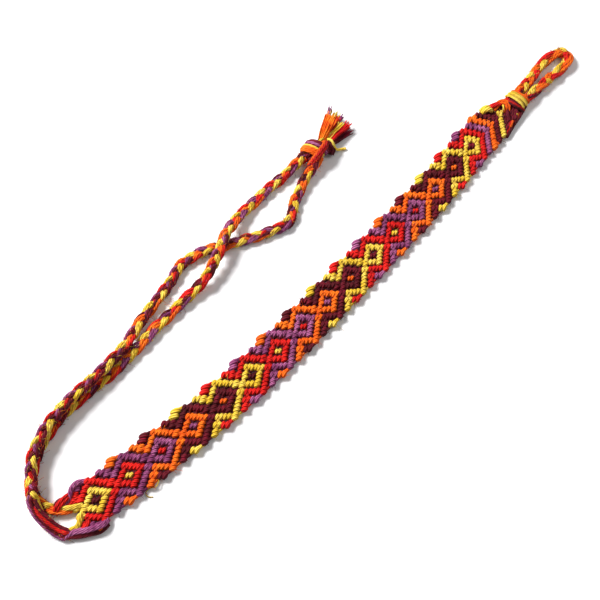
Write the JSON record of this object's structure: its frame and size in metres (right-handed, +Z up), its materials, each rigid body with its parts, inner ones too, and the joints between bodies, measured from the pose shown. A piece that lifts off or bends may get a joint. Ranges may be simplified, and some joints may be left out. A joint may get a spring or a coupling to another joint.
{
  "type": "friendship bracelet",
  "caption": "Flat knotted thread bracelet lying open, with a braided closing loop at one end and braided ties joined by an end knot and tassel at the other.",
  "frame": {"origin": "middle of the band, binding and closing loop, on the surface that they lie on", "axes": "+X along the band towards the closing loop, +Z up from the surface"},
  "size_m": [0.1796, 0.0425, 0.0047],
  "materials": {
    "yellow_thread": "six-strand cotton floss, lemon yellow",
    "red_thread": "six-strand cotton floss, bright red",
    "purple_thread": "six-strand cotton floss, mauve purple",
    "orange_thread": "six-strand cotton floss, orange",
    "maroon_thread": "six-strand cotton floss, very dark burgundy"
  },
  "bodies": {
    "root": {"band": "red_thread", "closing_loop": "orange_thread", "binding": "yellow_thread", "outer_tie": "maroon_thread", "inner_tie": "purple_thread", "end_knot": "maroon_thread", "tassel": "orange_thread"}
  },
  "joints": []
}
